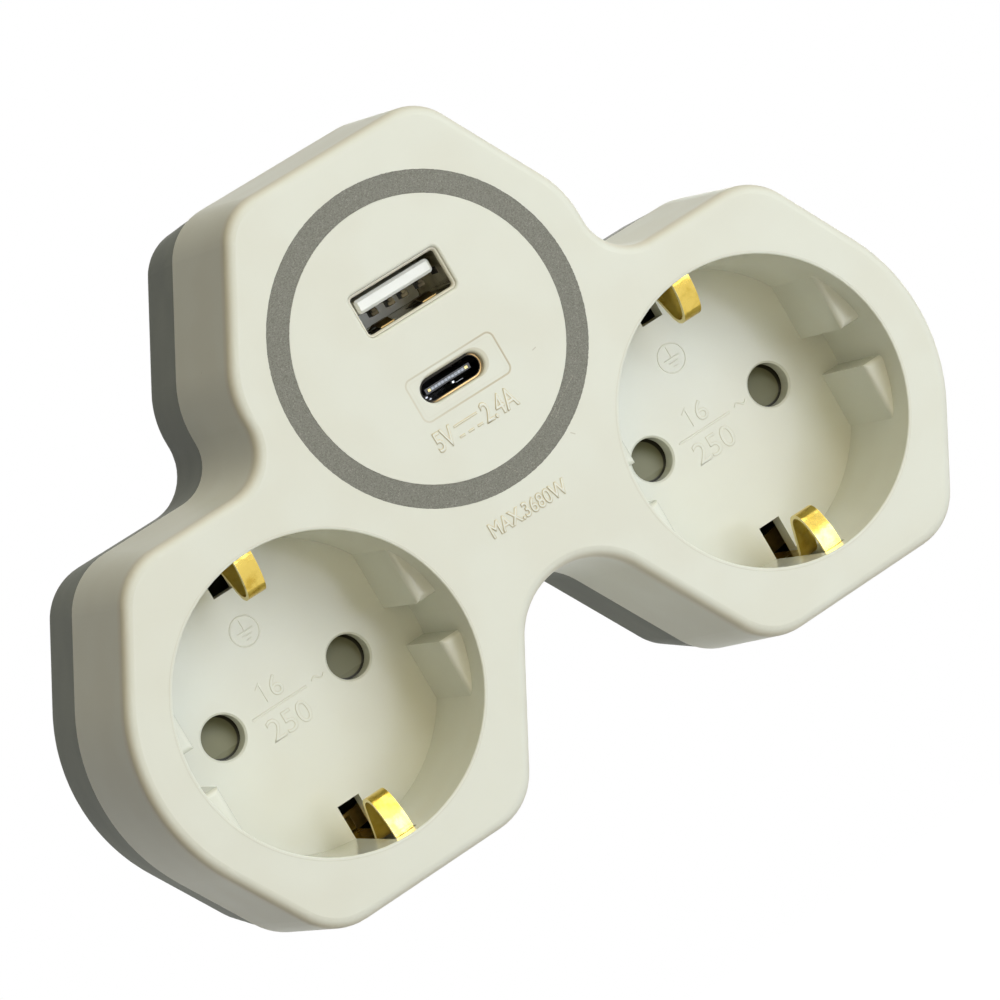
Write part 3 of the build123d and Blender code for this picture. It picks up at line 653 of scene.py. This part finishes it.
def text_mesh(name, words, unit, depth, slope):
    """The words as a solid in XY at their own size, where 1 stands for unit metres later on."""
    curve = bpy.data.curves.new(name, "FONT")
    curve.body = words
    curve.size = 1.0
    curve.offset = STROKE_THIN
    curve.bevel_depth = slope / unit
    curve.bevel_resolution = 0
    curve.extrude = max(0.001, depth / 2 / unit - curve.bevel_depth)
    curve.resolution_u = 3
    drawn = bpy.data.objects.new(name + "_curve", curve)
    bpy.context.scene.collection.objects.link(drawn)
    bpy.context.view_layer.update()
    evaluated = drawn.evaluated_get(bpy.context.evaluated_depsgraph_get())
    mesh = bpy.data.meshes.new_from_object(evaluated)
    bpy.data.objects.remove(drawn)
    return mesh


def moulded_text(name, words, box, face_y, centre=(0, 0), slope=FINE):
    """Raised text that fills box = (left, right, bottom, top), in mm from a centre in metres."""
    depth = RELIEF[face_y] + SUNK
    mesh = text_mesh(name, words, (box[3] - box[2]) * MM / CAP_HEIGHT, depth, slope)
    low = Vector([min(v.co[i] for v in mesh.vertices) for i in range(3)])
    high = Vector([max(v.co[i] for v in mesh.vertices) for i in range(3)])
    left, right, bottom, top = [v * MM for v in box]
    size = Vector((right - left, top - bottom, depth))
    scale = Matrix.Diagonal([size[i] / (high[i] - low[i]) for i in range(3)] + [1.0])
    mesh.transform(Matrix.Translation((left, bottom, -SUNK)) @ scale @ Matrix.Translation(-low))
    mesh.transform(facing_room(centre[0], face_y, centre[1]))
    shape = bmesh.new()
    shape.from_mesh(mesh)
    bpy.data.meshes.remove(mesh)
    bmesh.ops.remove_doubles(shape, verts=shape.verts, dist=0.002 * MM)
    bmesh.ops.recalc_face_normals(shape, faces=shape.faces)
    marks.append(solid_piece(name, shape, mark_finish))
    return marks[-1]


print("text stands on planes at", [round(face / MM, 1) for face in RELIEF], "mm")

# %% [markdown]
# Lines, the wave and the earth sign are strokes and not letters. A stroke has a flat top and two
# slopes. Where it turns, its cross-section stands on the line that halves the corner, so both arms
# keep their width.

# %% Moulded strokes
SHARPEST = 0.6


def stroke_steps(points, closed, width):
    """For each point of a stroke: the point, the way across it there and half the width."""
    last = len(points) - 1
    for i, point in enumerate(points):
        steps = []
        if i or closed:
            steps.append((point - points[i - 1]).normalized())
        if i < last or closed:
            steps.append((points[(i + 1) % len(points)] - point).normalized())
        across = (steps[0] + steps[-1]).normalized().orthogonal()
        yield point, across, width / 2 / max(SHARPEST, abs(across.dot(steps[0].orthogonal())))


def moulded_strokes(name, strokes, face_y, centre=(0, 0), width=0.3, slope=FINE):
    """Raised strokes along the given points in mm, flat on top and sloping at their sides."""
    top = RELIEF[face_y]
    shape = bmesh.new()
    for stroke in strokes:
        points = [Vector(p) * MM for p in stroke]
        closed = points[0] == points[-1]
        if closed:
            points.pop()
        rings = []
        for point, across, reach in stroke_steps(points, closed, width * MM):
            profile = ((-reach, -SUNK), (slope - reach, top), (reach - slope, top), (reach, -SUNK))
            rings.append([shape.verts.new((*(point + across * off), height))
                          for off, height in profile])
        skin(shape, rings, closed)
    bmesh.ops.transform(shape, matrix=facing_room(centre[0], face_y, centre[1]), verts=shape.verts)
    bmesh.ops.recalc_face_normals(shape, faces=shape.faces)
    marks.append(solid_piece(name, shape, mark_finish))
    return marks[-1]


def level_line(left, right, height):
    return [(left, height), (right, height)]


print("a stroke widens at a corner at most", round(1 / SHARPEST, 2), "times")


# %% The marks in the wells and on the front
EARTH_X, EARTH_Z, EARTH_R = -0.3, 9.7, 1.93
circle = [(EARTH_X + EARTH_R * cos(radians(a)), EARTH_Z + EARTH_R * sin(radians(a)))
          for a in range(0, 360, 8)]
earth_sign = [circle + circle[:1], [(EARTH_X, 11.25), (EARTH_X, 9.75)],
              level_line(-1.45, 0.85, 9.68), level_line(-1.0, 0.4, 9.12), level_line(-0.62, 0.02, 8.56)]
one = [[(-3.0, 2.75), (-2.3, 3.25), (-2.3, 0.75)]]
wave = [[(3.8 + i * 0.19, 0.33 * sin(i / 10 * 2 * pi) - 0.1 + i * 0.02) for i in range(11)]]
for side, centre in SOCKETS.items():
    moulded_text(f"mark_{side}_six", "6", (-1.3, 0.4, 0.7, 3.4), WELL_FLOOR, centre)
    moulded_text(f"mark_{side}_voltage", "250", (-4.2, 1.9, -4.1, -1.2), WELL_FLOOR, centre)
    moulded_strokes(f"mark_{side}_one", one, WELL_FLOOR, centre)
    moulded_strokes(f"mark_{side}_line", [level_line(-5.3, 2.9, -0.2)], WELL_FLOOR, centre,
                    width=0.36)
    moulded_strokes(f"mark_{side}_wave", wave, WELL_FLOOR, centre)
    moulded_strokes(f"mark_{side}_earth", earth_sign, WELL_FLOOR, centre, width=0.24,
                    slope=FINE * 0.8)

moulded_text("mark_port_volts", "5V", (-6.15, -3.42, -12.68, -10.0), FRONT, slope=BROAD)
moulded_text("mark_port_amps", "2.4A", (0.95, 5.95, -12.7, -9.9), FRONT, slope=BROAD)
dashes = [level_line(left, left + 0.8, -12.2) for left in (-3.0, -1.65, -0.28)]
moulded_strokes("mark_port_current", [level_line(-3.05, 0.45, -10.72)] + dashes, FRONT,
                width=0.42, slope=BROAD)
moulded_text("mark_load", "MAX.3680W", (-5.8, 5.8, -25.0, -22.9), FRONT, slope=BROAD)
print("marks:", len(marks), "faces:", sum(len(m.data.polygons) for m in marks))

# %% [markdown]
# ## Inside the ports
# A port is a folded steel shell with small springs pressed out of its walls, and its contacts end
# in bent tips. Both are a few tenths of a millimetre, so they are added here, on top of the frame's
# shells and tongues. The small port's tongue ends in a row of plated pads. The cream cover runs
# inward over the front edge of the wide shell as a narrow lip, skinned over rounded loops.

# %% Finishes inside the ports
PAD_PITCH = 0.5 * MM
PAD_GAP = (0.06 * MM, 0.14 * MM)
END_PAD = (2.55 * MM, 2.62 * MM)


def pad_row():
    """Light plated pads between dark gaps, with a gold one at each end."""
    finish = Finish("pad_row", linear(120, 124, 130), 0.35, metallic=0.3)
    x, y, z = finish.axes()
    phase = finish.node("ShaderNodeMath", {"operation": "PINGPONG"}, {0: x, 1: PAD_PITCH / 2})
    worn = finish.noise(0.18 * MM, detail=2.0)
    tint = finish.mix(finish.ramp(phase, *PAD_GAP), linear(104, 108, 112), linear(146, 151, 158))
    tint = finish.mix(finish.ramp(worn, 0.5, 0.7) * 0.7, tint, linear(86, 88, 88))
    tint = finish.mix(finish.ramp(abs(x), *END_PAD), tint, linear(236, 214, 140))
    return finish.feed(Base_Color=tint, Roughness=0.25 + worn * 0.2)


pad_finish = pad_row()
slot_shade = plain_moulding("slot_shade", linear(30, 26, 18), linear(18, 16, 12), 0.6)
print("port finishes:", pad_finish.material.name, slot_shade.material.name)

# %% [markdown]
# Slots, pads and catches are blocks with broken edges, and the slots are dark blocks of painted
# shade in the shell's openings. A spring is a strip bent along a bow. The lip is built from its
# cross-section: each step says how far it stands out, at which depth, and how round its corners are.

# %% Blocks, springs and a lip
STRIP = 0.15
BOW = [(-36.9, 0.02), (-36.2, 0.12), (-35.2, 0.55), (-34.3, 0.62), (-33.0, 0.3), (-31.4, 0.02)]
LIP_STEPS = [(0.02, -38.16, 0.72), (-0.08, -38.13, 0.62), (-0.26, -37.95, 0.46),
             (-0.33, -37.72, 0.4), (-0.30, -37.69, 0.4), (0.02, -37.69, 0.72)]
LIP_CORNER_STEPS = 6
QUARTERS = ((1, 1), (-1, 1), (-1, -1), (1, -1))


def block_piece(name, blocks, finish, edge=0.05):
    """Blocks (x0, x1, y0, y1, z0, z1) in mm with broken edges, joined into one piece."""
    shape = bmesh.new()
    for x0, x1, y0, y1, z0, z1 in blocks:
        verts = bmesh.ops.create_cube(shape, size=1.0)["verts"]
        size = Vector((x1 - x0, y1 - y0, z1 - z0))
        bmesh.ops.scale(shape, vec=size * MM, verts=verts)
        bmesh.ops.translate(shape, vec=Vector((x0 + x1, y0 + y1, z0 + z1)) / 2 * MM, verts=verts)
    if edge:
        bmesh.ops.bevel(shape, geom=shape.edges[:], offset=edge * MM, affect="EDGES", segments=1,
                        profile=0.5, material=-1)
    return solid_piece(name, shape, finish)


def latch_spring(name, centre_x, width, floor_z):
    """A strip pressed up out of the shell's floor: a low bow that the plug's shell rides over."""
    left, right = (centre_x - width / 2) * MM, (centre_x + width / 2) * MM
    shape = bmesh.new()
    rings = []
    for y, rise in BOW:
        low, high = (floor_z + rise) * MM, (floor_z + rise + STRIP) * MM
        corners = ((left, low), (right, low), (right, high), (left, high))
        rings.append([shape.verts.new((x, y * MM, z)) for x, z in corners])
    skin(shape, rings)
    # Its brown-gold colour is a painted reflection on the steel spring.
    return solid_piece(name, shape, spring_glint)


def port_lip(name, node):
    """The cream lip that runs inward over the front edge of a port's steel shell."""
    low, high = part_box(node)
    middle = Vector(((low[0] + high[0]) / 2, (low[2] + high[2]) / 2))
    half = Vector(((high[0] - low[0]) / 2, (high[2] - low[2]) / 2))
    shape = bmesh.new()
    rings = []
    for grow, y, corner in LIP_STEPS:
        radius = corner * MM
        reach = half + Vector((grow, grow)) * MM
        ring = []
        for turn, (side_x, side_z) in enumerate(QUARTERS):
            for i in range(LIP_CORNER_STEPS + 1):
                angle = pi / 2 * (turn + i / LIP_CORNER_STEPS)
                x = middle[0] + side_x * (reach[0] - radius) + cos(angle) * radius
                z = middle[1] + side_z * (reach[1] - radius) + sin(angle) * radius
                ring.append(shape.verts.new((x, y * MM, z)))
        rings.append(ring)
    skin(shape, rings, closed=True)
    for face in shape.faces:
        face.smooth = True
    return solid_piece(name, shape, cover_finish)


print("lip steps:", len(LIP_STEPS), "bow points:", len(BOW))


# %% Port details
WIDE_FLOOR, TONGUE_FACE = 3.95, 6.63
for side, centre_x in (("left", -3.1), ("right", 3.2)):
    latch_spring(f"port_latch_{side}", centre_x, 2.0, WIDE_FLOOR)
# Dark blocks in the shell's openings: painted shade where the slots let in no light.
slots = [(left, left + 0.3, -37.2, -31.0, WIDE_FLOOR - 0.02, WIDE_FLOOR + 0.03)
         for left in (-4.45, -2.05, 1.85, 4.25)]
slots += [(6.27, 6.33, -35.6, -33.4, 6.0, 6.9), (-6.23, -6.17, -35.6, -33.4, 6.0, 6.9)]
block_piece("port_slot_shade", slots, slot_shade, edge=0)
tips = []
for x in (-3.5, -1.0, 1.0, 3.5):
    tips.append((x - 0.5, x + 0.5, -36.0, -34.6, TONGUE_FACE - 1.0, TONGUE_FACE - 0.28))
    tips.append((x - 0.5, x + 0.1, -36.6, -35.9, TONGUE_FACE - 0.5, TONGUE_FACE - 0.02))
block_piece("port_contact_tips", tips, gold)
pads = [(-2.95, 3.05, -36.78, -36.68, -5.68, -5.33)]
block_piece("small_port_pads", pads, pad_finish, edge=0.02)
latches = [(-4.0, -3.5, -37.3, -36.6, -6.2, -5.9), (-3.6, -3.2, -37.4, -36.8, -6.55, -6.3),
           (0.15, 0.55, -37.0, -36.2, -6.35, -6.0), (0.7, 1.9, -36.6, -36.4, -6.5, -6.4)]
block_piece("small_port_latches", latches, steel, edge=0.06)
port_lip("wide_port_lip", "usb_a_shell")
print("port details added")

# %% [markdown]
# ## The set
# The adapter hangs in the air in the picture, before plain white. The white background is what rays
# from the camera, off a mirror or through glass meet; all other rays find only a weak warm light,
# so the white doesn't wash out the shadows. The floor is a pale surface far below the object, and
# the rays that see the background see it as nearly white.

# %% Floor and world
FLOOR_Z = -0.3
FLOOR_HALF = 0.8
FLOOR_GLOW, FLOOR_GLOW_SHARE = 1.08, 0.92
WHITE = (1, 1, 1, 1)
WARM_AIR = (1.0, 0.93, 0.68, 1)
AIR_LEVEL = 0.03


def seen_rays(graph):
    """1 on the rays that show a thing itself: from the camera, off a mirror or through glass."""
    path = graph.node("ShaderNodeLightPath")
    camera_ray, mirror_ray, glass_ray = graph.outputs(
        path, "Is Camera Ray", "Is Glossy Ray", "Is Transmission Ray")
    return camera_ray.most(mirror_ray).most(glass_ray)


def pale_floor():
    shape = bmesh.new()
    bmesh.ops.create_grid(shape, x_segments=1, y_segments=1, size=FLOOR_HALF)
    bmesh.ops.translate(shape, verts=shape.verts, vec=(0, 0, FLOOR_Z))
    mesh = bpy.data.meshes.new("floor")
    shape.to_mesh(mesh)
    shape.free()
    floor = bpy.data.objects.new("floor", mesh)
    bpy.context.scene.collection.objects.link(floor)
    finish = Finish("pale_floor", (0.82, 0.82, 0.81, 1), 0.7)
    glow = finish.node("ShaderNodeEmission", sockets={"Color": WHITE, "Strength": FLOOR_GLOW})
    mixed = finish.node("ShaderNodeMixShader", sockets={
        0: seen_rays(finish) * FLOOR_GLOW_SHARE, 1: Wire(finish, finish.shader.outputs[0]), 2: glow})
    finish.tree.links.new(mixed.socket, finish.tree.nodes["Material Output"].inputs["Surface"])
    mesh.materials.append(finish.material)
    return floor


def white_world(level):
    """White at strength 1 on the rays that show it, and a weak warm light on all others."""
    world = bpy.data.worlds.new("white_room")
    bpy.context.scene.world = world
    world.use_nodes = True
    graph = Graph(world.node_tree)
    back = graph.tree.nodes["Background"]
    seen = seen_rays(graph)
    shade = graph.mix(seen, WARM_AIR, WHITE)
    strength = graph.node("ShaderNodeMapRange",
                          sockets={"Value": seen, "To Min": level, "To Max": 1.0})
    graph.tree.links.new(shade.socket, back.inputs["Color"])
    graph.tree.links.new(strength.socket, back.inputs["Strength"])
    return world


floor = pale_floor()
white_world(AIR_LEVEL)
print("floor at z =", FLOOR_Z, "m")

# %% [markdown]
# ## The lamps
# The main light is broad and cool and comes from the front right, well to the side of the camera.
# Weaker warm ones come from beside the camera and from above, weaker cool ones from the right and
# the lower right, and one lights the back for the views from behind. Together they light a surface
# that faces the room at about level one, so a colour comes out nearly as it was written.

# %% Lamps
OBJECT_MIDDLE = Vector((0, -0.02, -0.016))


def soft_lamp(name, direction, distance, size, level, colour=(1, 1, 1)):
    """A square lamp that gives a white surface facing it the given level."""
    data = bpy.data.lights.new(name, "AREA")
    data.shape = "RECTANGLE"
    data.size, data.size_y = size
    data.color = colour
    data.energy = level * pi * pi * distance ** 2
    lamp = bpy.data.objects.new(name, data)
    bpy.context.scene.collection.objects.link(lamp)
    away = Vector(direction).normalized()
    lamp.location = OBJECT_MIDDLE + away * distance
    lamp.rotation_euler = away.to_track_quat("Z", "Y").to_euler()
    return lamp


# Each lamp has a direction from the object, a distance in metres, a size, a level and a colour.
COOL, WARM = (0.84, 0.89, 1.0), (1.0, 0.88, 0.60)
soft_lamp("front_light", (0.5, -1.0, 0.15), 1.4, (0.8, 0.8), 0.60, COOL)
soft_lamp("fill_light", (-0.3, -1.0, 0.1), 1.4, (0.7, 0.7), 0.155, WARM)
soft_lamp("top_light", (0.1, -0.3, 1.0), 1.0, (0.6, 0.5), 0.19, (1.0, 0.97, 0.74))
soft_lamp("high_light", (0.1, -1.0, 0.9), 1.2, (0.6, 0.6), 0.21, WARM)
soft_lamp("right_light", (1.0, -0.4, 0.2), 1.0, (0.6, 0.6), 0.14, (0.8, 0.95, 1.0))
soft_lamp("low_light", (1.0, -0.3, -0.8), 1.0, (0.6, 0.6), 0.15, (0.85, 0.95, 1.0))
soft_lamp("back_light", (0.6, 1.0, -0.15), 1.2, (0.7, 0.7), 0.38)

# %% [markdown]
# ## The camera
# The view was worked out from the round rims of the two wells and the ring, which fix the lens and
# the direction together: a long lens, a little to the left of the object and slightly above it.

# %% Camera
CAMERA_PLACE = Vector((-185.5, -561.7, 47.4)) * MM
CAMERA_RIGHT = Vector((0.794893, -0.34348, -0.500166))
CAMERA_DOWN = Vector((-0.510804, 0.066048, -0.857157))
CAMERA_FORWARD = Vector((0.327452, 0.936834, -0.12295))
SENSOR_MM, LENS_MM = 36.0, 165.5


def photograph_camera():
    data = bpy.data.cameras.new("camera")
    data.sensor_width = SENSOR_MM
    data.lens = LENS_MM
    camera = bpy.data.objects.new("camera", data)
    bpy.context.scene.collection.objects.link(camera)
    turn = Matrix((CAMERA_RIGHT, -CAMERA_DOWN, -CAMERA_FORWARD)).transposed()
    camera.matrix_world = Matrix.Translation(CAMERA_PLACE) @ turn.to_4x4()
    bpy.context.scene.camera = camera
    return camera


camera = photograph_camera()
bpy.context.scene.view_settings.view_transform = "Standard"
place = [round(v, 3) for v in camera.matrix_world.translation]
print("camera at", place, "lens", camera.data.lens)
